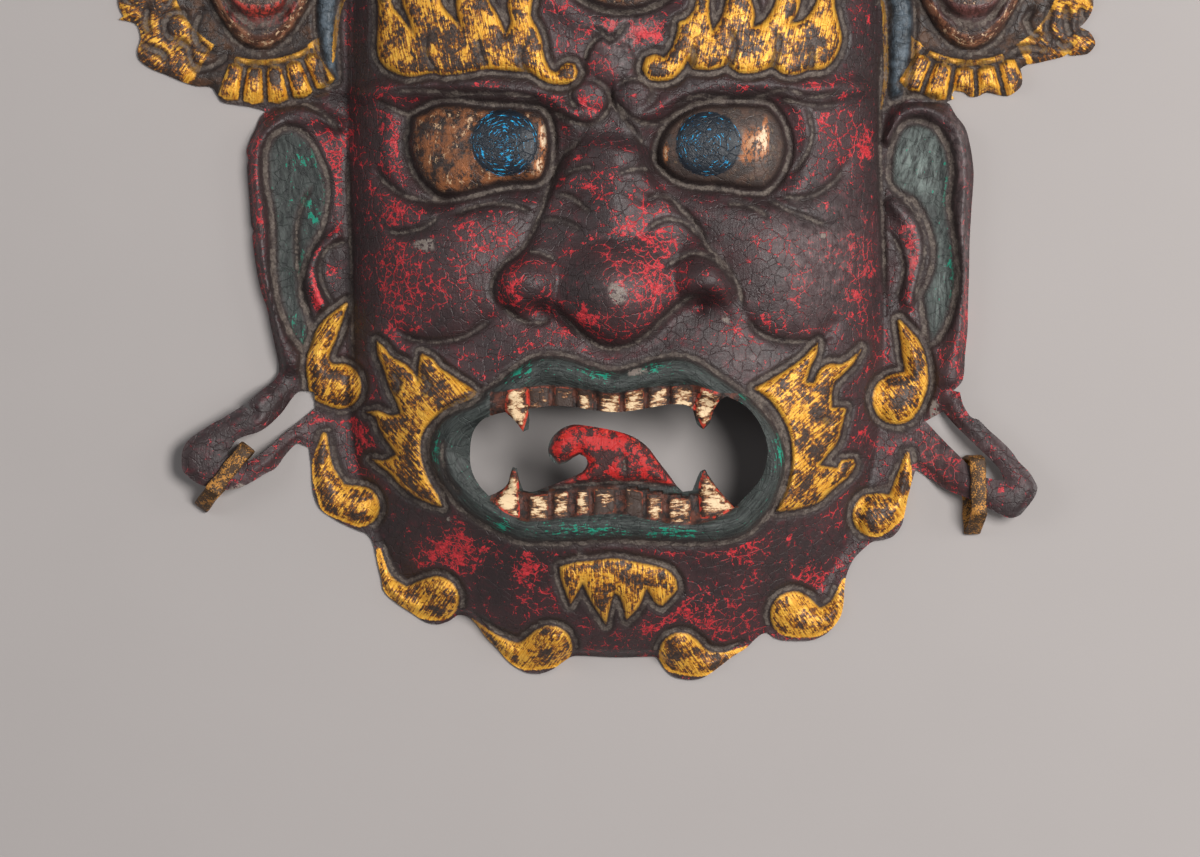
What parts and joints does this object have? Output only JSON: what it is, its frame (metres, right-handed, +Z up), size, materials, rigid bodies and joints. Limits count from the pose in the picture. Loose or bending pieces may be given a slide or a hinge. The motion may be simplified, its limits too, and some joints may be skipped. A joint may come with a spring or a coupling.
{
  "type": "cham dance mask",
  "caption": "Painted copper mask of a wrathful guardian face with a skull crown, long slotted ear lobes and strip earrings, lying face up.",
  "frame": {"origin": "middle of the bounding box's underside, on the table that the mask lies on", "axes": "+Z up out of the face, +Y towards the crown, +X towards the viewer's right as the face is looked at"},
  "size_m": [0.318, 0.3658, 0.0504],
  "materials": {
    "lacquered_copper": "crackled and worn paint and gilding on hammered copper",
    "gilt_strip": "worn gilding over dark metal"
  },
  "bodies": {
    "root": {"mask_sheet": "lacquered_copper", "left_earring": "gilt_strip", "right_earring": "gilt_strip"}
  },
  "joints": []
}
